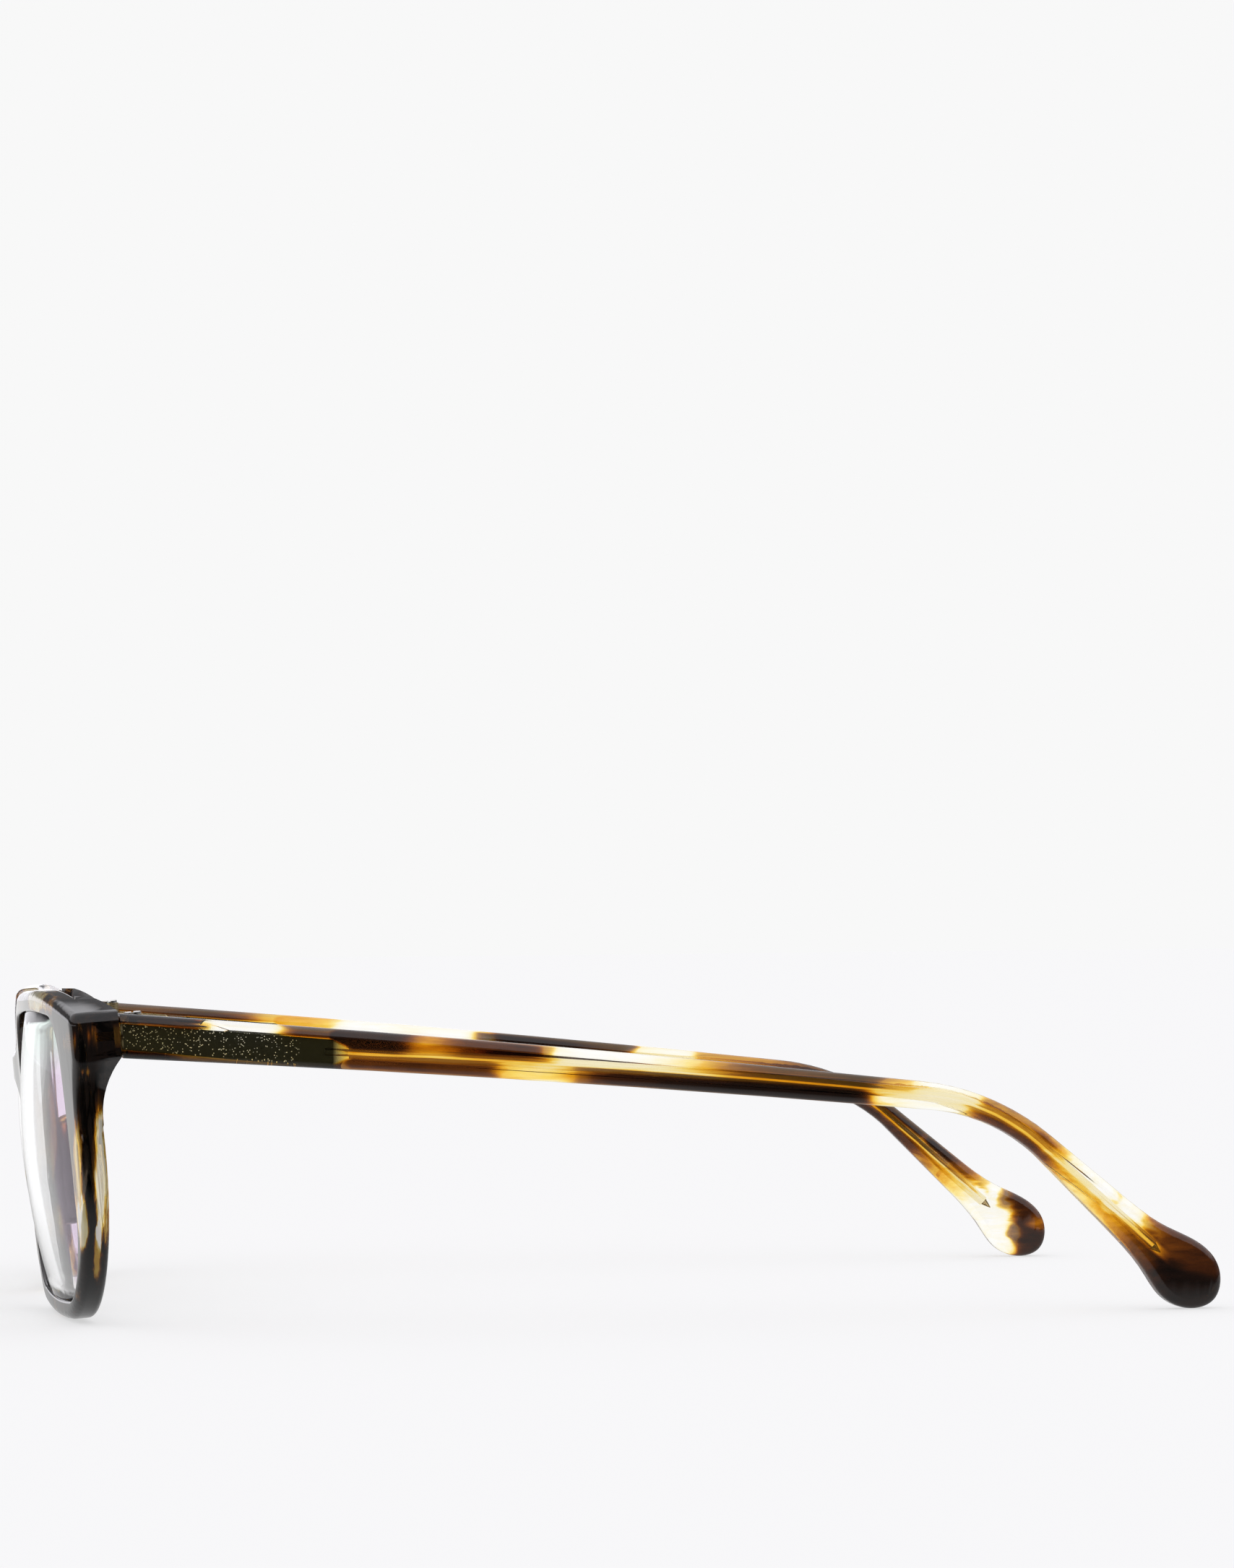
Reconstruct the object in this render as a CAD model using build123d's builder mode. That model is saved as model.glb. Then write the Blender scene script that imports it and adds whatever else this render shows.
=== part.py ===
"""Eyeglasses frame: acetate front, two hinged acetate temples with metal cores, lenses and hinges.

Millimetres. +Z is up, the front faces -Y, the temples run back along +Y and +X is the wearer's left.
The frame stands open on a table at Z = 0, on the bottoms of its rims and on its temple tips.
The left side is modelled and the right side is its mirror image.
"""
from build123d import *
from math import atan, cos, degrees, radians, sin, sqrt, tan
import os

# ---- driving dimensions -------------------------------------------------------------------------
HINGE_LINE_Y = -63.95        # where the endpieces end and the temples begin
HINGE_HEIGHT = 36.8          # middle of the endpiece above the table
FRONT_TILT = 5.0             # the front leans forward at the top, degrees
FRONT_RADIUS = 358.0         # curve of the front, seen from above
RIM_DEPTH = 3.5              # thickness of the acetate sheet
FRONT_TO_HINGE = 12.6        # foremost point of the rims to the back of the endpieces
HALF_WIDTH = 68.4            # centre to the outside of an endpiece
ENDPIECE_WIDTH = 9.0         # width of the deep block that carries the hinge
BRIDGE_STEP = 0.7            # the bridge stands this far in front of the rims
BRIDGE_HALF = 10.0
FRONT_ROUND = 1.3            # polished edges of the front: outside, towards the world
BACK_ROUND = 0.8             # outside, towards the wearer
OPENING_ROUND = 0.4          # round the lens

LENS_RADIUS = 90.0          # base curve of the lens front
LENS_THICKNESS = 1.6
LENS_BULGE = 1.8             # lens apex in front of the rim face
GROOVE_DEPTH = 0.5           # the lens edge sits this deep in the rim
BEVEL = 0.7                  # V-shaped edge of the lens, wider than the groove is deep
LENS_MIDDLE = (35.4, 21.0)   # across, up the front

TEMPLE_THICKNESS = 3.8
TEMPLE_TOE_IN = 3.1          # the temples close in towards the tips, degrees
TIP_SWEEP = 1.0              # the drop bends in this much more towards the head
BUTT_GAP = 0.12              # between endpiece and temple when open
EDGE_ROUND = 1.15            # polished edges of the temples

BLADE_HEIGHT = 3.2           # stamped front part of the temple core
BLADE_THICKNESS = 1.2
BLADE_LENGTH = 26.5
WIRE_RADIUS = 0.75
POINT_RADIUS = 0.6           # the ground point starts at a small shoulder
POINT_LENGTH = 1.4

AXIS_BEHIND = 1.9            # hinge axis behind the endpiece
AXIS_INSIDE = 1.9            # hinge axis inside the temple's inner face
KNUCKLE_PITCH = 0.95
KNUCKLE_GAP = 0.04
KNUCKLE_RADIUS = 1.3
SCREW_RADIUS = 0.65
SCREW_CLEARANCE = 0.03
SCREW_HEAD_RADIUS = 1.1
SCREW_HEAD_HEIGHT = 0.4
PLATE_THICKNESS = 0.7
FRONT_PLATE = (6.0, 4.6)     # across, up
TEMPLE_PLATE = (10.0, 3.4)   # along, up
PLATE_START = 0.6            # from the butt face to the temple plate
PIN_RADIUS = 0.55
FRONT_PIN_LENGTH = 2.2
FRONT_PIN_SPACING = 3.6
RIVET_LENGTH = 1.0
RIVET_PLACES = (5.0, 9.0)    # along the temple

# ---- frames of reference ------------------------------------------------------------------------
LEAN_SIN, LEAN_COS = sin(radians(FRONT_TILT)), cos(radians(FRONT_TILT))
ACROSS = Vector(1, 0, 0)
BACK = Vector(0, LEAN_COS, LEAN_SIN)      # square to the front, towards the wearer
RISE = Vector(0, -LEAN_SIN, LEAN_COS)     # up along the front
HINGE_RISE = (HINGE_HEIGHT - FRONT_TO_HINGE * LEAN_SIN) / LEAN_COS
FRONT_ORIGIN = Vector(0, HINGE_LINE_Y, HINGE_HEIGHT) - BACK * FRONT_TO_HINGE - RISE * HINGE_RISE


def front_point(across, back, rise):
    """A point given in the leaning frame of the front."""
    return FRONT_ORIGIN + ACROSS * across + BACK * back + RISE * rise


def elevation(back):
    """Plane parallel to the front: sketch x is across, sketch y is up, extrusion is forwards."""
    return Plane(origin=front_point(0, back, 0), x_dir=ACROSS, z_dir=-BACK)


def plan(rise):
    """Plane square to the front's height: sketch x is across, sketch y is back."""
    return Plane(origin=front_point(0, 0, rise), x_dir=ACROSS, z_dir=RISE)


def side(across):
    """Plane seen from the wearer's left: sketch x is back, sketch y is up the front."""
    return Plane(origin=front_point(across, 0, 0), x_dir=BACK, z_dir=ACROSS)


def sag(across):
    """How far the curved front has fallen back at a distance from the middle."""
    return FRONT_RADIUS - sqrt(FRONT_RADIUS ** 2 - across ** 2)


TOE_SIN, TOE_COS = sin(radians(TEMPLE_TOE_IN)), cos(radians(TEMPLE_TOE_IN))
ALONG, OUTWARD = Vector(-TOE_SIN, TOE_COS, 0), Vector(TOE_COS, TOE_SIN, 0)
TEMPLE_START = Vector(HALF_WIDTH - TEMPLE_THICKNESS / 2, HINGE_LINE_Y, 0)


def temple_side(outward):
    """Plane along the temple: sketch x runs back along it, sketch y is height above the table."""
    return Plane(origin=TEMPLE_START + OUTWARD * outward, x_dir=ALONG, z_dir=OUTWARD)


# ---- outlines of the front, left half ----------------------------------------------------------
with BuildSketch() as lens_shape:
    with BuildLine():
        top_nasal, top_outer = (11.2, 38.2), (57.9, 38.4)
        low_outer, low_nasal = (59.8, 3.3), (15.6, 4.0)
        ThreePointArc(top_nasal, (34.0, 39.5), top_outer)
        ThreePointArc(top_outer, (60.4, 19.0), low_outer)
        ThreePointArc(low_outer, (38.0, 2.3), low_nasal)
        ThreePointArc(low_nasal, (11.0, 22.0), top_nasal)
    make_face()
    fillet(lens_shape.vertices().sort_by(Axis.Y)[2:], 7.0)
    fillet(lens_shape.vertices().sort_by(Axis.Y)[:2], 12.5)

with BuildSketch() as rim_shape:
    with BuildLine():
        bridge_low, bridge_top = (0, 29.0), (0, 34.0)
        foot_nasal, foot_outer = (13.4, 1.6), (64.9, 1.8)
        cheek = (66.3, 24.0)
        brow_line = Spline(
            bridge_top, (5.6, 34.9), (10.2, 38.3), (17.0, 41.2), (30.0, 42.0), tangents=((1, 0), (1, 0))
        )
        brow = ThreePointArc(brow_line @ 1, (52.0, 41.45), (HALF_WIDTH, 38.9))
        end = Line(brow @ 1, (HALF_WIDTH, 33.2))
        jaw = Spline(end @ 1, (67.0, 30.2), cheek, tangents=((-0.55, -1), (0, -1)))
        ThreePointArc(cheek, (66.5, 14.0), foot_outer)
        ThreePointArc(foot_outer, (38.0, -0.25), foot_nasal)
        nose = Spline(foot_nasal, (9.2, 15.0), (7.4, 24.0), bridge_low, tangents=((-0.45, 1), (-1, 0)))
        Line(bridge_low, bridge_top)
    make_face()
    low_corners = rim_shape.vertices().sort_by(Axis.Y)[:2].sort_by(Axis.X)
    fillet(low_corners[0], 14.0)
    fillet(rim_shape.vertices().sort_by_distance(low_corners[1])[0], 22.0)
    fillet(rim_shape.vertices().sort_by(Axis.X)[-2:], 1.7)

# ---- front --------------------------------------------------------------------------------------
BLANK_HALF = 72.0            # half length of the curved blank before it is cut to shape
BEHIND = FRONT_TO_HINGE + 3.0
THROUGH = BEHIND + 6.0       # an extrusion from BEHIND that passes the whole front


def outline_edges(blank_face):
    """Edges of a face of the blank that follow the outline of the frame."""
    edges = blank_face.outer_wire().edges()
    return [edge for edge in edges if edge.geom_type != GeomType.LINE or edge.center().X > HALF_WIDTH - 1]


with BuildPart() as endpiece:
    # deep block behind the rim, to the height of the temple
    with BuildSketch(plan(20.0)):
        with BuildLine():
            inner = HALF_WIDTH - ENDPIECE_WIDTH
            Polyline(
                (inner - 4.6, FRONT_TO_HINGE - 5.0), (inner, FRONT_TO_HINGE), (BLANK_HALF, FRONT_TO_HINGE),
                (BLANK_HALF, FRONT_TO_HINGE - 4.0), (inner - 4.6, FRONT_TO_HINGE - 5.0),
            )
        make_face()
    extrude(amount=24.0)
    with BuildSketch(elevation(BEHIND)):
        add(rim_shape.sketch)
    extrude(amount=THROUGH, mode=Mode.INTERSECT)
    # its underside sweeps down into the back of the rim
    with BuildSketch(side(45.0)):
        with BuildLine():
            sweep_top, sweep_low = (FRONT_TO_HINGE, 33.2), (FRONT_TO_HINGE - 3.0, 25.0)
            ThreePointArc(sweep_top, (FRONT_TO_HINGE - 1.8, 30.6), sweep_low)
            Polyline(sweep_low, (FRONT_TO_HINGE - 5.0, 19.0), (BEHIND, 19.0), (BEHIND, 33.2), sweep_top)
        make_face()
    extrude(amount=35.0, mode=Mode.SUBTRACT)
    # its top falls in a round shoulder from the brow to the temple
    with BuildSketch(side(45.0)):
        with BuildLine():
            shoulder_front, shoulder_back = (FRONT_TO_HINGE - 6.0, 41.6), (FRONT_TO_HINGE, 38.9)
            ThreePointArc(shoulder_front, (FRONT_TO_HINGE - 2.4, 40.6), shoulder_back)
            Polyline(
                shoulder_back, (BEHIND, 38.9), (BEHIND, 44.0), (FRONT_TO_HINGE - 6.0, 44.0), shoulder_front
            )
        make_face()
    extrude(amount=35.0, mode=Mode.SUBTRACT)
    with BuildSketch(elevation(BEHIND)):
        offset(lens_shape.sketch, amount=OPENING_ROUND + 0.1)
    extrude(amount=THROUGH, mode=Mode.SUBTRACT)

with BuildPart() as front_half:
    with BuildSketch(plan(-3.0)):
        with BuildLine():
            face = ThreePointArc(
                (BLANK_HALF, sag(BLANK_HALF)), (BLANK_HALF / 2, sag(BLANK_HALF / 2)),
                (BRIDGE_HALF, sag(BRIDGE_HALF)),
            )
            Spline(face @ 1, (0, -BRIDGE_STEP), tangents=(face % 1, (-1, 0)))
            Line((0, -BRIDGE_STEP), (0, RIM_DEPTH))
            rear = ThreePointArc(
                (0, RIM_DEPTH), (BLANK_HALF / 2, sag(BLANK_HALF / 2) + RIM_DEPTH),
                (BLANK_HALF, sag(BLANK_HALF) + RIM_DEPTH),
            )
            Line(rear @ 1, face @ 0)
        make_face()
    extrude(amount=50.0)
    with BuildSketch(elevation(BEHIND)):
        add(rim_shape.sketch)
    extrude(amount=THROUGH, mode=Mode.INTERSECT)
    with BuildSketch(elevation(BEHIND)):
        add(lens_shape.sketch)
    extrude(amount=THROUGH, mode=Mode.SUBTRACT)
    rim_face, rim_back = sorted(
        [f for f in front_half.faces() if f.inner_wires()], key=lambda f: f.center().Y
    )
    bridge_face = front_half.faces().sort_by_distance(front_point(4, -0.5, 31.5))[0]
    face_edges = outline_edges(rim_face) + outline_edges(bridge_face)
    back_edges = outline_edges(rim_back)
    opening_edges = [edge for f in (rim_face, rim_back) for edge in f.inner_wires()[0].edges()]
    fillet(face_edges, FRONT_ROUND)
    fillet(back_edges, BACK_ROUND)
    fillet(opening_edges, OPENING_ROUND)
    add(endpiece.part)

# ---- lens, left ---------------------------------------------------------------------------------
lens_across, lens_rise = LENS_MIDDLE
LENS_TURN_SIN = lens_across / FRONT_RADIUS
LENS_TURN_COS = sqrt(1 - LENS_TURN_SIN ** 2)
LENS_CENTRE = front_point(
    lens_across - LENS_RADIUS * LENS_TURN_SIN,
    sag(lens_across) - LENS_BULGE + LENS_RADIUS * LENS_TURN_COS,
    lens_rise,
)

with BuildPart() as left_lens:
    with Locations(LENS_CENTRE):
        Sphere(LENS_RADIUS)
        Sphere(LENS_RADIUS - LENS_THICKNESS, mode=Mode.SUBTRACT)
    with BuildSketch(elevation(FRONT_TO_HINGE)):
        offset(lens_shape.sketch, amount=GROOVE_DEPTH)
    extrude(amount=FRONT_TO_HINGE + 6.0, mode=Mode.INTERSECT)
    dished = left_lens.faces().filter_by(GeomType.SPHERE)
    chamfer(dished.edges(), BEVEL)

# ---- nose pad, left -----------------------------------------------------------------------------
PAD_SPLAY, PAD_LEAN = radians(24.0), radians(12.0)
PAD_OUT = ACROSS * -cos(PAD_SPLAY) + BACK * sin(PAD_SPLAY) + RISE * -sin(PAD_LEAN)
PAD_BACK = ACROSS * sin(PAD_SPLAY) + BACK * cos(PAD_SPLAY)

with BuildPart() as pad_blank:
    with BuildSketch(Plane(origin=front_point(10.6, 3.0, 17.5), x_dir=PAD_BACK, z_dir=PAD_OUT)):
        with Locations((1.6, 0)):
            Ellipse(5.6, 7.2)
    extrude(amount=2.4)
    fillet(pad_blank.edges(), 1.0)

# ---- hinge, left --------------------------------------------------------------------------------
AXIS_ACROSS = HALF_WIDTH - TEMPLE_THICKNESS - AXIS_INSIDE
AXIS_BACK = FRONT_TO_HINGE + AXIS_BEHIND
BORE_RADIUS = SCREW_RADIUS + SCREW_CLEARANCE
WEB_WIDTH = 1.8
STACK_HALF = 2.5 * KNUCKLE_PITCH


def knuckle_plane(level):
    """Underside of a knuckle; level 0 is the middle one of the five."""
    return plan(HINGE_RISE + (level - 0.5) * KNUCKLE_PITCH + KNUCKLE_GAP / 2)


with BuildPart() as left_front_hinge_leaf:
    with BuildSketch(elevation(FRONT_TO_HINGE)):
        with Locations((AXIS_ACROSS, HINGE_RISE)):
            RectangleRounded(FRONT_PLATE[0], FRONT_PLATE[1], 0.8)
    extrude(amount=PLATE_THICKNESS)
    for level in (-2, 0, 2):
        with BuildSketch(knuckle_plane(level)):
            web_length = AXIS_BEHIND + PLATE_THICKNESS / 2
            with Locations((AXIS_ACROSS, AXIS_BACK - web_length / 2)):
                Rectangle(WEB_WIDTH, web_length)
            with Locations((AXIS_ACROSS, AXIS_BACK)):
                Circle(KNUCKLE_RADIUS)
                Circle(BORE_RADIUS, mode=Mode.SUBTRACT)
        extrude(amount=KNUCKLE_PITCH - KNUCKLE_GAP)

with BuildPart() as left_front_hinge_pins:
    with BuildSketch(elevation(FRONT_TO_HINGE - PLATE_THICKNESS)):
        with Locations((AXIS_ACROSS, HINGE_RISE)):
            with GridLocations(FRONT_PIN_SPACING, 0, 2, 1):
                Circle(PIN_RADIUS)
    extrude(amount=FRONT_PIN_LENGTH)

with BuildPart() as left_hinge_screw:
    with BuildSketch(plan(HINGE_RISE - STACK_HALF - 0.1)):
        with Locations((AXIS_ACROSS, AXIS_BACK)):
            Circle(SCREW_RADIUS)
    extrude(amount=2 * STACK_HALF + 0.2)
    with BuildSketch(plan(HINGE_RISE + STACK_HALF)):
        with Locations((AXIS_ACROSS, AXIS_BACK)):
            Circle(SCREW_HEAD_RADIUS)
    extrude(amount=SCREW_HEAD_HEIGHT)
    fillet(left_hinge_screw.edges().sort_by(Axis.Z)[-1], 0.15)
    with BuildSketch(plan(HINGE_RISE + STACK_HALF + SCREW_HEAD_HEIGHT / 2)):
        with Locations((AXIS_ACROSS, AXIS_BACK)):
            Rectangle(3 * SCREW_HEAD_RADIUS, 0.3)
    extrude(amount=SCREW_HEAD_HEIGHT, mode=Mode.SUBTRACT)

# ---- temple core, left --------------------------------------------------------------------------
FALL = radians(5.05)         # the temple falls away from the hinge


def temple_middle(along):
    """Height of the middle of the straight part of the temple."""
    return HINGE_HEIGHT - 0.1 - tan(FALL) * along


with BuildPart() as left_core_wire:
    with BuildSketch(temple_side(-BLADE_THICKNESS / 2)):
        with BuildLine():
            near, far = 0.5, BLADE_LENGTH
            half, neck = BLADE_HEIGHT / 2, WIRE_RADIUS * 0.9
            Polyline(
                (near, temple_middle(near) - half), (far, temple_middle(far) - half),
                (far + 2, temple_middle(far + 2) - neck), (far + 2, temple_middle(far + 2) + neck),
                (far, temple_middle(far) + half), (near, temple_middle(near) + half),
                (near, temple_middle(near) - half),
            )
        make_face()
    extrude(amount=BLADE_THICKNESS)
    blade_corners = left_core_wire.edges().filter_by(lambda edge: abs((edge % 0.5).dot(OUTWARD)) > 0.99)
    fillet(blade_corners.sort_by(Axis.Y)[2:4], 1.1)
    with BuildLine(temple_side(0)) as wire_path:
        run = ThreePointArc((BLADE_LENGTH - 1, temple_middle(BLADE_LENGTH - 1)), (64.0, 31.75), (102.5, 27.9))
        bend = JernArc(run @ 1, run % 1, 27.0, -36.5)
        Line(bend @ 1, (132.0, 8.2))
    with BuildSketch(Plane(origin=wire_path.line @ 0, z_dir=wire_path.line % 0)):
        Circle(WIRE_RADIUS)
    sweep()
    # ground point
    with BuildSketch(Plane(origin=wire_path.line @ 1, z_dir=wire_path.line % 1)):
        Circle(POINT_RADIUS)
    extrude(amount=POINT_LENGTH, taper=degrees(atan(0.9 * POINT_RADIUS / POINT_LENGTH)))

# ---- temple, left -------------------------------------------------------------------------------
HALF_THICK = TEMPLE_THICKNESS / 2
SWEEP_FROM, TEMPLE_END = 98.0, 144.0


def butt(height):
    """Front end of the temple, parallel to the back of the endpiece."""
    return (BUTT_GAP - (height - HINGE_HEIGHT) * tan(radians(FRONT_TILT)), height)


def sweep_in(along):
    """How far the temple has bent towards the head."""
    return TIP_SWEEP * ((along - SWEEP_FROM) / (TEMPLE_END - SWEEP_FROM)) ** 2


with BuildPart() as left_temple:
    with BuildSketch(temple_side(-2 * TEMPLE_THICKNESS)):
        with BuildLine():
            top_lead = Line((-4.0, 39.89), (14.0, 38.4))
            top = TangentArc(top_lead @ 1, (102.0, 29.65), tangent=top_lead % 1)
            top_bend = JernArc(top @ 1, top % 1, 32.0, -33.0)
            top_drop = Line(top_bend @ 1, (128.6, 14.35))
            low_lead = Line((-4.0, 34.23), (14.0, 33.11))
            low = TangentArc(low_lead @ 1, (103.5, 25.95), tangent=low_lead % 1)
            low_bend = JernArc(low @ 1, low % 1, 23.0, -37.0)
            low_drop = Line(low_bend @ 1, (127.2, 9.4))
            Spline(
                low_drop @ 1, (131.1, 4.7), (133.4, 1.5), (137.2, 0.0), (140.2, 1.1), (141.1, 3.6),
                (140.4, 6.3), (138.6, 8.2), (133.6, 10.8), top_drop @ 1,
                tangents=(low_drop % 1, -(top_drop % 1)),
            )
            Line(low_lead @ 0, top_lead @ 0)
        make_face()
    extrude(amount=4 * TEMPLE_THICKNESS)
    with BuildSketch(Plane(origin=TEMPLE_START + Vector(0, 0, 50), x_dir=ALONG, z_dir=(0, 0, -1))):
        with BuildLine():
            halfway = (SWEEP_FROM + TEMPLE_END) / 2
            outer = Line((-6, HALF_THICK), (SWEEP_FROM, HALF_THICK))
            outer_tip = ThreePointArc(
                outer @ 1, (halfway, HALF_THICK - sweep_in(halfway)), (TEMPLE_END, HALF_THICK - TIP_SWEEP)
            )
            tip = Line(outer_tip @ 1, (TEMPLE_END, -HALF_THICK - TIP_SWEEP))
            inner_tip = ThreePointArc(tip @ 1, (halfway, -HALF_THICK - sweep_in(halfway)), (SWEEP_FROM, -HALF_THICK))
            Polyline(inner_tip @ 1, (-6, -HALF_THICK), outer @ 0)
        make_face()
    extrude(amount=60.0, mode=Mode.INTERSECT)
    long_edges = left_temple.edges().filter_by(
        lambda edge: abs((edge % 0.5).dot(OUTWARD)) < 0.9 and edge.center().Y > HINGE_LINE_Y - 3.5
    )
    fillet(long_edges, EDGE_ROUND)
    # sawn off to meet the endpiece
    with BuildSketch(temple_side(-2 * TEMPLE_THICKNESS)):
        with BuildLine():
            Polyline(butt(30), butt(45), (-10, 45), (-10, 30), butt(30))
        make_face()
    extrude(amount=4 * TEMPLE_THICKNESS, mode=Mode.SUBTRACT)

# ---- temple hinge leaf, left --------------------------------------------------------------------
with BuildPart() as left_temple_hinge_leaf:
    plate_middle = PLATE_START + TEMPLE_PLATE[0] / 2
    with BuildSketch(temple_side(-HALF_THICK)):
        with Locations(Location((plate_middle, temple_middle(plate_middle), 0), (0, 0, -degrees(FALL)))):
            RectangleRounded(TEMPLE_PLATE[0], TEMPLE_PLATE[1], 0.8)
    extrude(amount=PLATE_THICKNESS)
    for level in (-1, 1):
        with BuildSketch(knuckle_plane(level)):
            web_length = AXIS_INSIDE + PLATE_THICKNESS / 2
            with Locations((AXIS_ACROSS + web_length / 2, AXIS_BACK)):
                Rectangle(web_length, WEB_WIDTH)
            with Locations((AXIS_ACROSS, AXIS_BACK)):
                Circle(KNUCKLE_RADIUS)
                Circle(BORE_RADIUS, mode=Mode.SUBTRACT)
        extrude(amount=KNUCKLE_PITCH - KNUCKLE_GAP)

with BuildPart() as left_temple_hinge_rivets:
    for place in RIVET_PLACES:
        with BuildSketch(temple_side(-HALF_THICK + PLATE_THICKNESS)):
            with Locations((place, temple_middle(place))):
                Circle(PIN_RADIUS)
        extrude(amount=RIVET_LENGTH)

# ---- what is let into what ----------------------------------------------------------------------
with BuildPart() as left_nose_pad:
    add(pad_blank.part)
    add(front_half.part, mode=Mode.SUBTRACT)

with BuildPart() as front:
    add(front_half.part)
    for let_in in (left_lens, left_front_hinge_leaf, left_front_hinge_pins):
        add(let_in.part, mode=Mode.SUBTRACT)
    mirror(about=Plane.YZ)

with BuildPart() as left_core:
    add(left_core_wire.part)
    add(left_temple_hinge_rivets.part, mode=Mode.SUBTRACT)

with BuildPart() as temple_finished:
    add(left_temple.part)
    for let_in in (left_core_wire, left_temple_hinge_leaf, left_temple_hinge_rivets):
        add(let_in.part, mode=Mode.SUBTRACT)

# ---- export -------------------------------------------------------------------------------------
left_pieces = {
    "lens": left_lens, "nose_pad": left_nose_pad, "temple": temple_finished, "core_wire": left_core,
    "front_hinge_leaf": left_front_hinge_leaf, "front_hinge_pins": left_front_hinge_pins,
    "temple_hinge_leaf": left_temple_hinge_leaf, "temple_hinge_rivets": left_temple_hinge_rivets,
    "hinge_screw": left_hinge_screw,
}
os.makedirs("parts", exist_ok=True)
front.part.label = "front"
export_step(front.part, "parts/front.step")
for name, piece in left_pieces.items():
    piece.part.label = "left_" + name
    export_step(piece.part, f"parts/left_{name}.step")
    right = mirror(piece.part, about=Plane.YZ)
    right.label = "right_" + name
    export_step(right, f"parts/right_{name}.step")
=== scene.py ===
"""Looks for a tortoiseshell acetate eyeglasses frame: materials, buried metal, lenses, light and camera."""
import math

import bmesh
import bpy
from mathutils import Matrix, Vector
from mathutils.bvhtree import BVHTree


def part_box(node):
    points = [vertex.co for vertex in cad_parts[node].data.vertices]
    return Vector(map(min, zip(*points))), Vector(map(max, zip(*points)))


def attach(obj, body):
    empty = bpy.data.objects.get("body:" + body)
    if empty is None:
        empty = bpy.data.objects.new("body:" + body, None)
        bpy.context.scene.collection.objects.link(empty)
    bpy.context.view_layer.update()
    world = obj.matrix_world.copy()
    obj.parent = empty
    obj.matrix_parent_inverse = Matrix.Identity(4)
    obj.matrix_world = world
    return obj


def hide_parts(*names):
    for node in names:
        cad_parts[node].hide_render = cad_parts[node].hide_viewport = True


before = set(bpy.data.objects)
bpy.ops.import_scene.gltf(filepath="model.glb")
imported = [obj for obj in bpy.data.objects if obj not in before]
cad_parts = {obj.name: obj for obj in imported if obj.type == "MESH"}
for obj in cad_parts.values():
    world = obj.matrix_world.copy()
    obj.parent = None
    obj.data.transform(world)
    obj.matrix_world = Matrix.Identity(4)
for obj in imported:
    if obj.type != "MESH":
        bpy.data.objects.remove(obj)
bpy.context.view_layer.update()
scene = bpy.context.scene
MM = 0.001
SIDES = ("left", "right")


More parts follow.
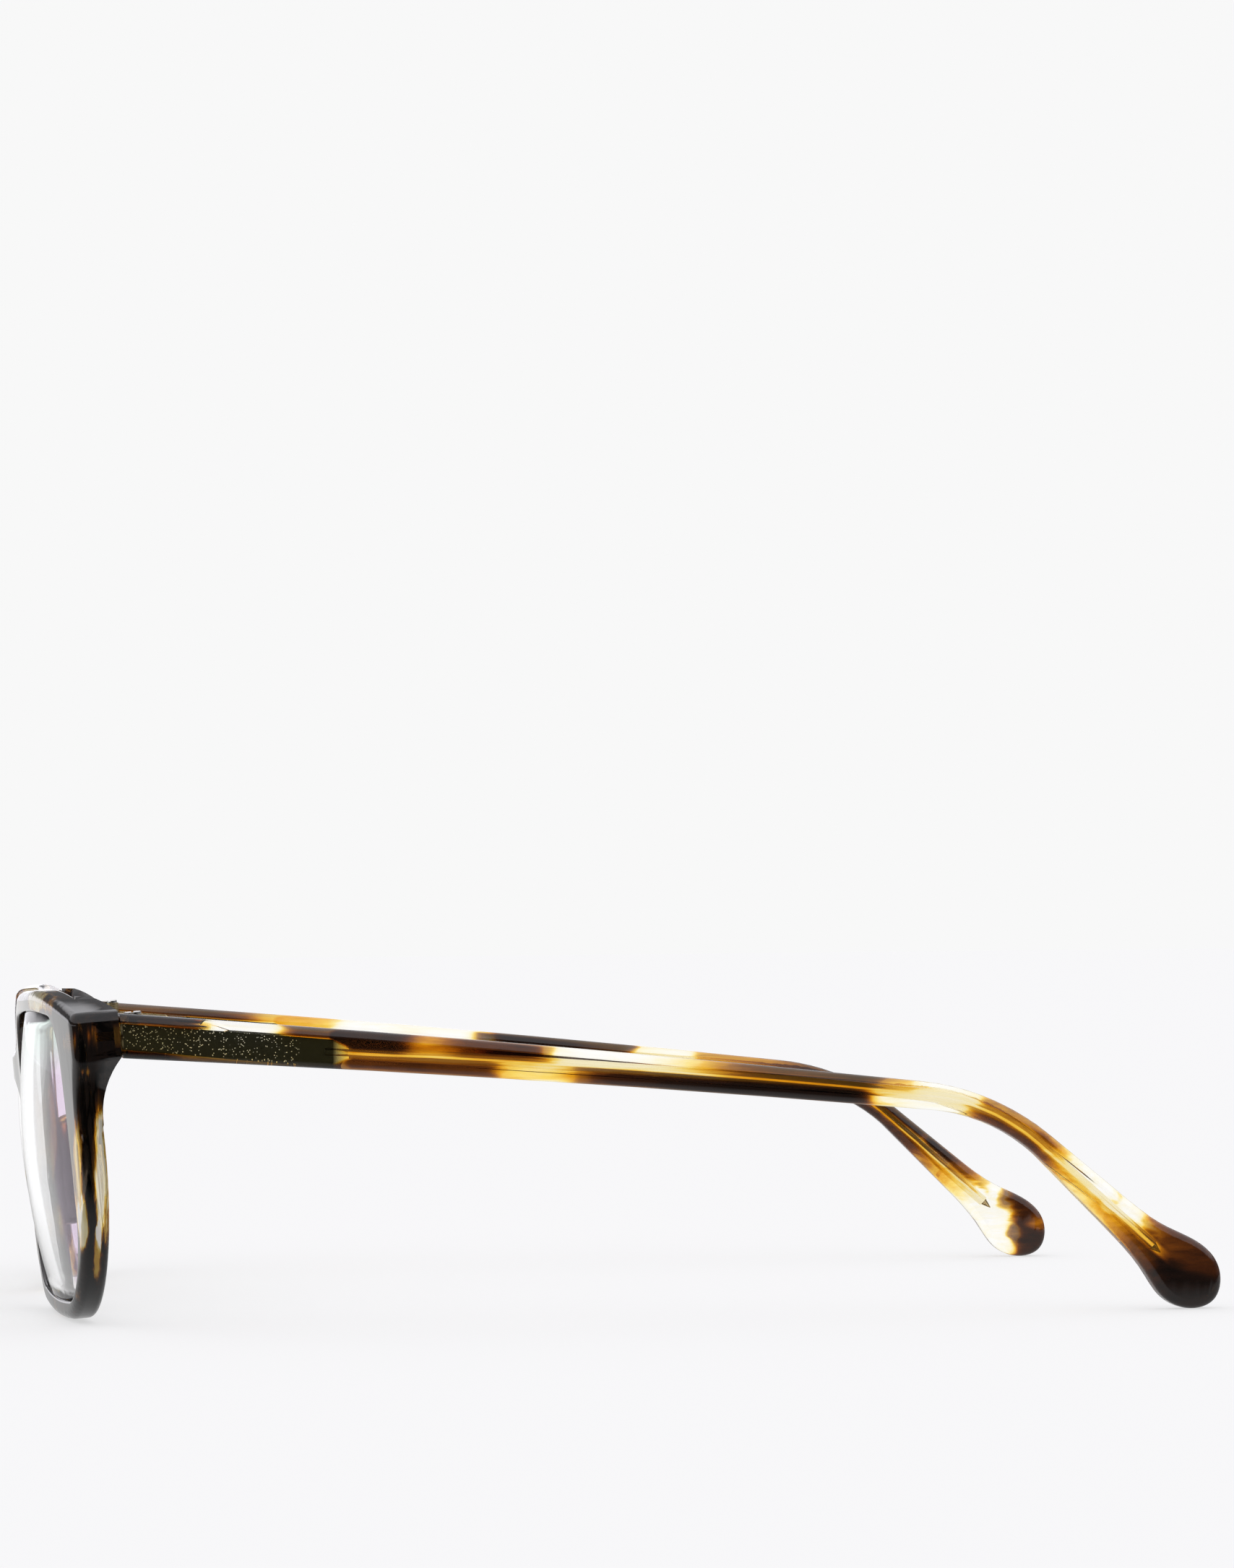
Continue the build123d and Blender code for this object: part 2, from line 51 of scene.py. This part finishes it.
# ---- node helpers -------------------------------------------------------------------------------
class Tree:
    """A material's or a world's node tree, with short ways to add and join nodes."""

    def __init__(self, owner):
        owner.use_nodes = True
        self.nodes, self.links = owner.node_tree.nodes, owner.node_tree.links
        self.nodes.clear()

    def add(self, kind, inputs=None, **settings):
        node = self.nodes.new(kind)
        for key, value in settings.items():
            setattr(node, key, value)
        for key, value in (inputs or {}).items():
            self.feed(node.inputs[key], value)
        return node

    def feed(self, socket, value):
        if isinstance(value, bpy.types.Node):
            value = value.outputs[0]
        if isinstance(value, bpy.types.NodeSocket):
            self.links.new(value, socket)
        else:
            socket.default_value = value

    def math(self, operation, a, b=0.0, c=0.0, clamp=False):
        return self.add("ShaderNodeMath", {0: a, 1: b, 2: c}, operation=operation, use_clamp=clamp).outputs[0]

    def centred(self, value, span):
        """A value between 0 and 1 spread evenly about zero."""
        return self.math("MULTIPLY_ADD", value, span, -span / 2)

    def vector(self, operation, a, b):
        return self.add("ShaderNodeVectorMath", {0: a, 1: b}, operation=operation).outputs[0]

    def fade(self, value, start, end, low=0.0, high=1.0, smooth=True):
        """A change from low to high while value goes from start to end."""
        node = self.add(
            "ShaderNodeMapRange",
            {"Value": value, "From Min": start, "From Max": end, "To Min": low, "To Max": high},
            interpolation_type="SMOOTHSTEP" if smooth else "LINEAR",
        )
        return node.outputs[0]

    def mix(self, share, first, second):
        return self.add("ShaderNodeMix", {0: share, 2: first, 3: second}, data_type="FLOAT").outputs[0]

    def mix_colour(self, share, first, second):
        return self.add("ShaderNodeMix", {0: share, 6: first, 7: second}, data_type="RGBA").outputs[2]

    def point(self):
        """The place on the object, in metres."""
        return self.add("ShaderNodeTexCoord").outputs["Object"]

    def millimetres(self, point):
        return self.add("ShaderNodeVectorMath", {0: point, "Scale": 1 / MM}, operation="SCALE").outputs[0]

    def parts(self, vector):
        """The three coordinates of a vector."""
        return self.add("ShaderNodeSeparateXYZ", {0: vector}).outputs

    def ramp(self, factor, stops):
        node = self.add("ShaderNodeValToRGB", {0: factor})
        elements = node.color_ramp.elements
        while len(elements) < len(stops):
            elements.new(0.5)
        # places first: a stop that moves changes the order of the stops
        for element, (place, _) in zip(elements, stops):
            element.position = place
        for element, (_, colour) in zip(elements, stops):
            element.color = (*colour, 1)
        return node.outputs[0]

    def noise(self, vector, scale, detail=3.0, roughness=0.5, distortion=0.0):
        inputs = {
            "Vector": vector, "Scale": scale, "Detail": detail,
            "Roughness": roughness, "Distortion": distortion,
        }
        return self.add("ShaderNodeTexNoise", inputs).outputs["Fac"]

    def curve(self, value, points, top=1.0):
        """A smooth function given by (distance behind the hinge, height) points along the temple."""
        place = self.fade(value, TEMPLE_FROM, TEMPLE_TO, smooth=False)
        node = self.add("ShaderNodeFloatCurve", {"Factor": 1.0, "Value": place})
        curve = node.mapping.curves[0]
        while len(curve.points) < len(points):
            curve.points.new(0.5, 0.5)
        for point, (x, y) in zip(curve.points, points):
            point.location = ((x - TEMPLE_FROM) / (TEMPLE_TO - TEMPLE_FROM), y / top)
            point.handle_type = "AUTO_CLAMPED"
        node.mapping.update()
        return self.math("MULTIPLY", node.outputs[0], top)

    def bump(self, shader, height, strength, distance):
        node = self.add("ShaderNodeBump", {"Strength": strength, "Distance": distance, "Height": height})
        self.feed(shader.inputs["Normal"], node)


def principled(name, tree_fill, **values):
    """A material with one Principled shader; tree_fill adds what varies over the surface."""
    material = bpy.data.materials.new(name)
    tree = Tree(material)
    shader = tree.add("ShaderNodeBsdfPrincipled")
    for key, value in values.items():
        shader.inputs[key.replace("_", " ")].default_value = value
    tree.add("ShaderNodeOutputMaterial", {"Surface": shader})
    tree_fill(tree, shader)
    return material


# ---- acetate ------------------------------------------------------------------------------------
ACETATE_IOR = 1.49
# density of the brown in the clear sheet, from 0, clear, to 1, nearly black
ACETATE_STOPS = (
    (0.0, (1.0, 0.995, 0.96)), (0.12, (1.0, 0.92, 0.60)), (0.24, (0.98, 0.70, 0.13)),
    (0.36, (0.80, 0.36, 0.014)), (0.5, (0.38, 0.125, 0.006)), (0.63, (0.14, 0.038, 0.005)),
    (0.77, (0.042, 0.012, 0.004)), (0.89, (0.013, 0.006, 0.004)), (1.0, (0.005, 0.0035, 0.003)),
)
# the temple tables below are by distance behind the hinge line, in millimetres
HINGE_Y = -63.95
TEMPLE_FROM, TEMPLE_TO = -5.0, 145.0
LINE_TOP = 40.0              # greatest height that the two line tables can hold
# middle line of the temple: distance, height
MIDDLE_LINE = (
    (-5, 37.2), (0, 36.7), (40, 33.4), (80, 29.9), (100, 27.9), (108, 26.5), (115, 23.0), (122, 17.2),
    (130, 10.3), (137, 5.0), (145, 3.0),
)
# the metal core inside it, the same way
CORE_LINE = (
    (0, 36.7), (25.5, 34.45), (64, 31.75), (102.5, 27.9), (108.7, 26.4), (113.7, 24.0), (117.9, 20.8),
    (132, 8.2), (145, -3.4),
)
# density along the temple, as (distance, density), above and below the middle line
NEAR_UPPER = (
    (-5, .86), (7, .88), (10.5, .45), (13, .02), (17, .03), (20, .36), (23, .84), (34, .86), (39, .42),
    (44, .72), (51, .74), (54, .1), (62, .0), (68, .08), (75, .46), (82, .86), (93, .95), (97, .55),
    (101, .34), (104, .02), (108, .05), (111, .55), (118, .6), (121, .1), (128, .0), (131, .4), (135, .72),
    (145, .8),
)
NEAR_LOWER = (
    (-5, .9), (5, .85), (8, .42), (20, .40), (24, .68), (44, .72), (48, .3), (54, .22), (58, .66),
    (64, .86), (92, .94), (96, .4), (99, .06), (105, .04), (108, .4), (114, .72), (118, .45), (122, .28),
    (127, .45), (131, .74), (136, .95), (145, .92),
)
FAR_UPPER = (
    (-5, .88), (18, .85), (22, .66), (26, .4), (34, .28), (37, .02), (54, .02), (57, .35), (60, .92),
    (77, .95), (80, .15), (86, .05), (89, .45), (100, .6), (108, .88), (122, .92), (128, .62), (131, .3),
    (133, .03), (135, .05), (137, .78), (141, .5), (145, .6),
)
FAR_LOWER = (
    (-5, .9), (18, .85), (24, .5), (36, .2), (52, .2), (58, .6), (72, .8), (82, .5), (88, .35), (96, .6),
    (108, .82), (118, .74), (124, .4), (128, .2), (131, .02), (135, .04), (137, .72), (140, .85), (145, .8),
)
SEED_STEP = (7.3, 3.1, 5.7)
# the metal core lies in a clearer layer: how much of the density is missing, and how far from the core
BLADE_CLEARING, WIRE_CLEARING = 0.86, 0.58
BLADE_REACH, WIRE_REACH = 1.95, 0.85
BLADE_TO_WIRE = (26.0, 29.0)
BEND = (103.0, 118.0)        # where the temple turns down
BEND_SHRINK = -0.27          # upright distances shrink to square ones by this share on the slope
CORE_FADES_OUT = (134.5, 132.0)


def acetate_finish(tree, shader, point, density):
    """Colour from the density, and the faint unevenness of tumbled and polished acetate."""
    tree.feed(shader.inputs["Base Color"], tree.ramp(density, ACETATE_STOPS))
    polish = tree.noise(point, 900.0, 2.0)
    tree.feed(shader.inputs["Roughness"], tree.fade(polish, 0.0, 1.0, 0.015, 0.055, smooth=False))
    tree.bump(shader, tree.noise(point, 260.0, 1.0), 0.05, 0.0002)


def core_clearing(tree, y, z):
    """Share of the density that is left out round the metal core."""
    along = tree.math("SUBTRACT", y, HINGE_Y)
    core = tree.curve(along, CORE_LINE, LINE_TOP)
    away = tree.math("ABSOLUTE", tree.math("SUBTRACT", z, core))
    bend = tree.fade(along, *BEND, smooth=False)
    away = tree.math("MULTIPLY", away, tree.math("MULTIPLY_ADD", bend, BEND_SHRINK, 1.0))
    # from 0 along the blade to 1 along the wire
    wire = tree.fade(along, *BLADE_TO_WIRE, smooth=False)
    reach = tree.math("MULTIPLY_ADD", wire, WIRE_REACH - BLADE_REACH, BLADE_REACH)
    near_core = tree.fade(away, reach, tree.math("SUBTRACT", reach, 0.5))
    has_core = tree.fade(along, *CORE_FADES_OUT, smooth=False)
    share = tree.math("MULTIPLY_ADD", wire, WIRE_CLEARING - BLADE_CLEARING, BLADE_CLEARING)
    return tree.math("MULTIPLY", tree.math("MULTIPLY", near_core, has_core), share)


def temple_acetate(name, upper, lower, seed):
    def fill(tree, shader):
        point = tree.point()
        millimetres = tree.millimetres(point)
        moved = tree.vector("ADD", millimetres, tuple(seed * step for step in SEED_STEP))
        # the swirls are drawn out along the temple
        wander = tree.noise(tree.vector("MULTIPLY", moved, (0.5, 0.16, 0.5)), 0.6, 2.0)
        streaks = tree.noise(tree.vector("MULTIPLY", moved, (1.0, 0.10, 1.1)), 1.0, 3.0, 0.6)
        _, y, z = tree.parts(millimetres)
        along = tree.math("ADD", tree.math("SUBTRACT", y, HINGE_Y), tree.centred(wander, 9.0))
        above = tree.math("SUBTRACT", z, tree.curve(along, MIDDLE_LINE, LINE_TOP))
        above = tree.math("ADD", above, tree.centred(streaks, 2.4))
        density = tree.mix(tree.fade(above, -0.7, 0.7), tree.curve(along, lower), tree.curve(along, upper))
        density = tree.math("ADD", density, tree.centred(streaks, 0.36), clamp=True)
        left = tree.math("SUBTRACT", 1.0, core_clearing(tree, y, z))
        acetate_finish(tree, shader, point, tree.math("MULTIPLY", density, left))

    return principled(name, fill, Transmission_Weight=1.0, IOR=ACETATE_IOR)


# lighter places in the dark front, as (centre, half sizes, strength), millimetres
FRONT_LIGHT = (
    ((44.0, -74.2, 41.2), (9.0, 3.2, 2.2), 0.85),       # brow
    ((55.0, -72.2, 40.4), (3.5, 2.5, 1.4), 0.6),
    ((64.0, -67.4, 37.0), (6.0, 1.2, 2.4), 0.60),       # round the hinge pins
    ((64.5, -70.0, 36.0), (5.0, 1.0, 1.8), 0.50),
    ((64.0, -68.4, 32.4), (6.0, 0.9, 0.8), 0.6),
    ((63.5, -69.2, 21.0), (8.0, 0.6, 7.5), 0.74),       # streaks down the side of the rim
    ((63.5, -66.3, 19.5), (8.0, 1.2, 9.5), 0.92),
    ((63.5, -68.5, 13.4), (8.0, 0.8, 4.0), 0.84),
    ((62.8, -66.9, 9.0), (8.0, 0.7, 4.6), 0.72),
    ((58.5, -69.5, 3.6), (4.0, 0.8, 2.6), 0.7),
)
DARK_RIM_FROM = (30.0, 42.0)      # across, where the dark left rim begins
DARK_RIM_DENSITY = 0.99


def front_acetate(name):
    def fill(tree, shader):
        point = tree.point()
        millimetres = tree.millimetres(point)
        swirl = tree.noise(tree.vector("MULTIPLY", millimetres, (0.085, 0.22, 0.06)), 1.0, 2.0, 0.5, 0.5)
        streaks = tree.noise(tree.vector("MULTIPLY", millimetres, (0.35, 1.3, 0.12)), 1.0, 3.0, 0.55)
        density = tree.fade(swirl, 0.36, 0.50, 0.2, 0.98)
        # the left rim is nearly all dark, with a few light places
        dark_rim = tree.fade(tree.parts(millimetres)[0], *DARK_RIM_FROM)
        density = tree.mix(dark_rim, density, DARK_RIM_DENSITY)
        ragged = tree.centred(streaks, 1.3)
        for centre, half, strength in FRONT_LIGHT:
            away = tree.vector("DIVIDE", tree.vector("SUBTRACT", millimetres, centre), half)
            far = tree.add("ShaderNodeVectorMath", {0: away}, operation="LENGTH").outputs["Value"]
            light = tree.fade(tree.math("ADD", far, ragged), 1.15, 0.55, 0.0, strength)
            density = tree.math("SUBTRACT", density, light)
        density = tree.math("ADD", density, tree.centred(streaks, 0.24), clamp=True)
        acetate_finish(tree, shader, point, density)
        # the clear parts scatter some light, so they also show with dark acetate behind them
        tree.feed(shader.inputs["Transmission Weight"], tree.fade(density, 0.0, 0.6, 0.5, 1.0, smooth=False))

    return principled(name, fill, IOR=ACETATE_IOR)


# ---- metal and lens -----------------------------------------------------------------------------
BLADE_END, WIRE_START = 22.5, 26.5      # where the stipple ends and the polished wire begins
LINE_GRAIN = (4000.0, 300.0, 4000.0)    # fine lines drawn out along the core


def core_metal(name, dark, painted_highlight_colour, wire, grain):
    """A dark blade with a stipple of painted highlights (bright dots of base colour on small bumps), then a
    plain shoulder and a polished wire.
    """
    def fill(tree, shader):
        point = tree.point()
        _, y, z = tree.parts(point)
        along = tree.math("MULTIPLY_ADD", y, 1 / MM, -HINGE_Y)
        stipple = tree.fade(along, BLADE_END, BLADE_END - 1.0, smooth=False)
        polish = tree.fade(along, WIRE_START, WIRE_START + 2.0, smooth=False)
        side_on = tree.add("ShaderNodeCombineXYZ", {0: y, 1: z})
        cells = tree.add("ShaderNodeTexVoronoi", {"Vector": side_on, "Scale": grain}, voronoi_dimensions="2D")
        # painted highlights: a bright dot of base colour in the middle of a few of the cells
        chance = tree.add("ShaderNodeSeparateColor", {0: cells.outputs["Color"]}).outputs[0]
        chosen = tree.fade(chance, 0.89, 0.95, smooth=False)
        dot = tree.fade(cells.outputs["Distance"], 0.5, 0.34, smooth=False)
        painted_highlight_dots = tree.math("MULTIPLY", tree.math("MULTIPLY", chosen, dot), stipple)
        metal = tree.ramp(polish, ((0.0, dark), (1.0, wire)))
        tree.feed(shader.inputs["Base Color"], tree.mix_colour(painted_highlight_dots, metal, (*painted_highlight_colour, 1)))
        lines = tree.noise(tree.vector("MULTIPLY", point, LINE_GRAIN), 1.0, 2.0)
        rough = tree.fade(polish, 0.0, 1.0, 0.30, 0.07, smooth=False)
        rough = tree.math("ADD", rough, tree.math("MULTIPLY", lines, 0.06))
        rough = tree.math("ADD", rough, tree.math("MULTIPLY", painted_highlight_dots, 0.55))
        tree.feed(shader.inputs["Roughness"], rough)
        tree.bump(shader, tree.math("MULTIPLY", cells.outputs["Distance"], stipple), 0.12, 0.00004)

    return principled(name, fill, Metallic=1.0)


def satin_metal(name, colour, rough_low, rough_high, stretch):
    def fill(tree, shader):
        lines = tree.noise(tree.vector("MULTIPLY", tree.point(), stretch), 1.0, 4.0, 0.6)
        dark = tuple(c * 0.78 for c in colour)
        tree.feed(shader.inputs["Base Color"], tree.ramp(lines, ((0.25, dark), (0.7, colour))))
        tree.feed(shader.inputs["Roughness"], tree.fade(lines, 0.0, 1.0, rough_low, rough_high, smooth=False))
        tree.bump(shader, lines, 0.15, 0.00003)

    return principled(name, fill, Metallic=1.0)


LENS_CLEAR = ((0.3, (0.99, 0.995, 0.993)), (0.7, (0.997, 0.998, 1.0)))
# colours of the coating's reflection, painted into the lens colour
EDGE_REFLECTION_PAINT, TOP_REFLECTION_PAINT = (0.68, 0.47, 0.71), (0.80, 0.96, 0.87)


def lens_material(name):
    """Clear plastic with the coloured reflection of its coating painted in: seen at a slant it is purple
    towards the temple and green at the top.
    """
    def fill(tree, shader):
        point = tree.point()
        haze = tree.noise(point, 120.0, 2.0)
        slant = tree.fade(tree.add("ShaderNodeLayerWeight", {"Blend": 0.5}).outputs["Facing"], 0.3, 0.7)
        x, _, z = tree.parts(point)
        outward = tree.math("ADD", tree.math("ABSOLUTE", x), tree.math("MULTIPLY", haze, 0.0012))
        colour = tree.ramp(haze, LENS_CLEAR)
        # painted reflections, purple at the temple edge and green along the top, strongest at a slant
        edge, top = tree.fade(outward, 0.0500, 0.0535), tree.fade(z, 0.031, 0.037)
        for share, reflection_paint in ((edge, EDGE_REFLECTION_PAINT), (top, TOP_REFLECTION_PAINT)):
            colour = tree.mix_colour(tree.math("MULTIPLY", share, slant), colour, (*reflection_paint, 1))
        tree.feed(shader.inputs["Base Color"], colour)
        tree.bump(shader, haze, 0.02, 0.0002)

    return principled(name, fill, Transmission_Weight=1.0, IOR=1.22, Roughness=0.0)


front_look = front_acetate("front_tortoise")
temple_look = {
    "left": temple_acetate("left_temple_tortoise", NEAR_UPPER, NEAR_LOWER, 1.0),
    "right": temple_acetate("right_temple_tortoise", FAR_UPPER, FAR_LOWER, 4.0),
}
# the core's bright stipple dots are painted highlights in the colour given below
core_look = core_metal(
    "stippled_core", dark=(0.017, 0.016, 0.009), painted_highlight_colour=(1.0, 0.98, 0.85), wire=(0.92, 0.84, 0.60),
    grain=6500.0,
)
leaf_look = satin_metal("satin_hinge_metal", (0.78, 0.62, 0.34), 0.18, 0.38, (900.0, 900.0, 9000.0))
screw_look = satin_metal("bright_screw", (0.78, 0.77, 0.74), 0.12, 0.25, (3000.0, 3000.0, 12000.0))
lens_look = lens_material("coated_lens")


# ---- pieces -------------------------------------------------------------------------------------
WELD = 1e-6                  # corners closer than this are one
SHARP_ANGLE = math.radians(38.0)
METAL_REACH = 0.05 * MM      # acetate this close to buried metal is a wall of its pocket
EASE = 0.012 * MM            # how much smaller an eased copy is, all round


def welded_copy(node):
    """A bmesh copy of a CAD node with the seams between its CAD faces closed."""
    copy = bmesh.new()
    copy.from_mesh(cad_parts[node].data)
    bmesh.ops.remove_doubles(copy, verts=copy.verts, dist=WELD)
    return copy


def finish_piece(copy, node, name, body, look):
    mesh = bpy.data.meshes.new(name)
    copy.normal_update()
    copy.to_mesh(mesh)
    copy.free()
    mesh.shade_smooth()
    mesh.set_sharp_from_angle(angle=SHARP_ANGLE)
    mesh.materials.clear()
    mesh.materials.append(look)
    piece = bpy.data.objects.new(name, mesh)
    scene.collection.objects.link(piece)
    weigh = piece.modifiers.new("face_weighted_shading", "WEIGHTED_NORMAL")
    weigh.keep_sharp = True
    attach(piece, body)
    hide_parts(node)
    return piece


def cast_round(node, buried, name, body, look):
    """Acetate cast round its buried metal: the walls of the pockets that the metal fills are taken out."""
    copy = welded_copy(node)
    trees = []
    for inner in buried:
        metal = bmesh.new()
        metal.from_mesh(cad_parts[inner].data)
        trees.append((BVHTree.FromBMesh(metal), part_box(inner)))
        metal.free()

    def on_metal(point):
        for tree, (low, high) in trees:
            inside = all(low[i] - METAL_REACH < point[i] < high[i] + METAL_REACH for i in range(3))
            if inside and tree.find_nearest(point, METAL_REACH)[0] is not None:
                return True
        return False

    wall = [
        face for face in copy.faces
        if on_metal(face.calc_center_median()) and all(on_metal(vertex.co) for vertex in face.verts)
    ]
    bmesh.ops.delete(copy, geom=wall, context="FACES")
    rims = [edge for edge in copy.edges if edge.is_boundary]
    if rims:
        bmesh.ops.holes_fill(copy, edges=rims, sides=0)
    bmesh.ops.recalc_face_normals(copy, faces=copy.faces)
    return finish_piece(copy, node, name, body, look)


def eased(node, name, body, look):
    """A copy of a piece a hair smaller all round, so that it and its seat don't share a surface."""
    copy = welded_copy(node)
    copy.normal_update()
    moved = [(vertex, vertex.co - vertex.normal * EASE) for vertex in copy.verts]
    for vertex, place in moved:
        vertex.co = place
    return finish_piece(copy, node, name, body, look)


pins = [f"{side}_front_hinge_pins" for side in SIDES]
cast_round("front", pins, "front_acetate_body", "front", front_look)
for side in SIDES:
    arm = f"{side}_temple_arm"
    cast_round(
        f"{side}_temple", [f"{side}_core_wire", f"{side}_temple_hinge_rivets"], f"{side}_temple_acetate_body",
        arm, temple_look[side],
    )
    eased(f"{side}_lens", f"{side}_lens_clear", "front", lens_look)
    eased(f"{side}_front_hinge_leaf", f"{side}_front_leaf_satin", "front", leaf_look)
    eased(f"{side}_temple_hinge_leaf", f"{side}_temple_leaf_satin", arm, leaf_look)
    for node, look in (
        ("core_wire", core_look), ("front_hinge_pins", leaf_look), ("temple_hinge_rivets", leaf_look),
        ("hinge_screw", screw_look), ("nose_pad", front_look),
    ):
        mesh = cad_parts[f"{side}_{node}"].data
        mesh.materials.clear()
        mesh.materials.append(look)

# ---- floor --------------------------------------------------------------------------------------
PALE = 0.939                 # brightness of floor and surroundings in the picture
FLOOR_GLOW, FLOOR_GREY = 0.612, 0.34
THROUGH = 0.08               # floor and surroundings are this much brighter to light that crossed the frame
TABLE_RADIUS, TABLE_DROP = 12.0, 0.00005
floor_mesh = bpy.data.meshes.new("table_top")
disc = bmesh.new()
bmesh.ops.create_circle(disc, cap_ends=True, segments=96, radius=TABLE_RADIUS)
disc.to_mesh(floor_mesh)
disc.free()
floor = bpy.data.objects.new("table_top", floor_mesh)
floor.location = (0, 0, -TABLE_DROP)
scene.collection.objects.link(floor)
floor_look = bpy.data.materials.new("lit_table_top")
tree = Tree(floor_look)
rays = tree.add("ShaderNodeLightPath").outputs
strength = tree.math("MULTIPLY_ADD", rays["Is Transmission Ray"], THROUGH, FLOOR_GLOW)
glow = tree.add("ShaderNodeEmission", {"Color": (1, 1, 1, 1), "Strength": strength})
paint = tree.add("ShaderNodeBsdfDiffuse", {"Color": (FLOOR_GREY, FLOOR_GREY, FLOOR_GREY, 1)})
lit = tree.add("ShaderNodeAddShader", {0: glow, 1: paint})
# reflections on the frame show a table that is dark on the wearer's left and bright ahead
across, back, _ = tree.parts(tree.point())
dark_side = tree.fade(across, 0.066, 0.11, 0.8, 0.03)
ahead_part = tree.fade(back, -0.075, -0.13, 0.7, 1.3)
shown = tree.add(
    "ShaderNodeEmission", {"Color": (1, 1, 1, 1), "Strength": tree.math("MULTIPLY", dark_side, ahead_part)}
)
# light that crosses clear acetate or a lens counts as glossy too, but sees the lit table
reflected = tree.math("SUBTRACT", rays["Is Glossy Ray"], rays["Is Transmission Ray"], clamp=True)
surface = tree.add("ShaderNodeMixShader", {0: reflected, 1: lit, 2: shown})
tree.add("ShaderNodeOutputMaterial", {"Surface": surface})
floor_mesh.materials.append(floor_look)

# ---- light --------------------------------------------------------------------------------------
AMBIENT, OVERHEAD, FRONT_BOX = 0.16, 1.1, 1.35
LEFT_FLAG = 0.02             # brightness of the dark side, on the wearer's left
world = bpy.data.worlds.new("studio")
scene.world = world
tree = Tree(world)
x, y, z = tree.parts(tree.add("ShaderNodeTexCoord").outputs["Generated"])
flag = tree.fade(x, 0.1, 0.7, AMBIENT, LEFT_FLAG)
overhead = tree.math("MULTIPLY", tree.fade(z, 0.26, 0.42), OVERHEAD)
# a large soft box ahead of the frame that reaches round to the wearer's right
turned = tree.math("MULTIPLY_ADD", x, 0.5, y)
box = tree.math("MULTIPLY", tree.fade(turned, -0.02, -0.3), tree.fade(z, 0.16, 0.07))
box = tree.math("MULTIPLY", box, FRONT_BOX)
level = tree.math("MAXIMUM", tree.math("MAXIMUM", flag, box), overhead)
studio = tree.add("ShaderNodeBackground", {"Color": (0.97, 0.96, 1.0, 1), "Strength": level})
# the camera, directly or through the frame, sees plain pale surroundings instead
rays = tree.add("ShaderNodeLightPath").outputs
brightness = tree.math("MULTIPLY_ADD", rays["Is Transmission Ray"], THROUGH, PALE)
seen = tree.add("ShaderNodeBackground", {"Color": (1, 1, 1, 1), "Strength": brightness})
direct = tree.math("MAXIMUM", rays["Is Camera Ray"], rays["Is Transmission Ray"])
surface = tree.add("ShaderNodeMixShader", {0: direct, 1: studio, 2: seen})
tree.add("ShaderNodeOutputWorld", {"Surface": surface})

scene.view_settings.view_transform = "Standard"
scene.view_settings.look = "None"
scene.cycles.max_bounces = 24
scene.cycles.transmission_bounces = 20
scene.cycles.glossy_bounces = 10
scene.cycles.caustics_reflective = False
scene.cycles.use_denoising = True

# ---- camera -------------------------------------------------------------------------------------
CAMERA_PLACE = Vector((0.74543, -0.08054, 0.04881))
VIEW_TURN, VIEW_ROLL = math.radians(6.61), math.radians(0.573)
VIEW_RISE, VIEW_ASIDE = 0.0275857, 0.00068      # slopes of the view axis
PICTURE_WIDE, PICTURE_TALL = 1708, 2171
SENSOR_TALL, FOCAL_LENGTH = 36.0, 124.7315      # millimetres
level_ahead = Vector((-math.cos(VIEW_TURN), math.sin(VIEW_TURN), 0))
level_aside = Vector((math.sin(VIEW_TURN), math.cos(VIEW_TURN), 0))
axis = (level_ahead + Vector((0, 0, VIEW_RISE)) + level_aside * VIEW_ASIDE).normalized()
right = axis.cross(Vector((0, 0, 1))).normalized()
up = right.cross(axis)
rolled_right = right * math.cos(VIEW_ROLL) - up * math.sin(VIEW_ROLL)
rolled_up = up * math.cos(VIEW_ROLL) + right * math.sin(VIEW_ROLL)
turn = Matrix((rolled_right, rolled_up, -axis)).transposed()
camera_data = bpy.data.cameras.new("camera")
camera_data.sensor_fit = "VERTICAL"
camera_data.sensor_height = SENSOR_TALL
camera_data.sensor_width = SENSOR_TALL * PICTURE_WIDE / PICTURE_TALL
camera_data.lens = FOCAL_LENGTH
camera_data.clip_start, camera_data.clip_end = 0.01, 100.0
camera = bpy.data.objects.new("camera", camera_data)
camera.matrix_world = Matrix.Translation(CAMERA_PLACE) @ turn.to_4x4()
scene.collection.objects.link(camera)
scene.camera = camera

bpy.context.view_layer.update()
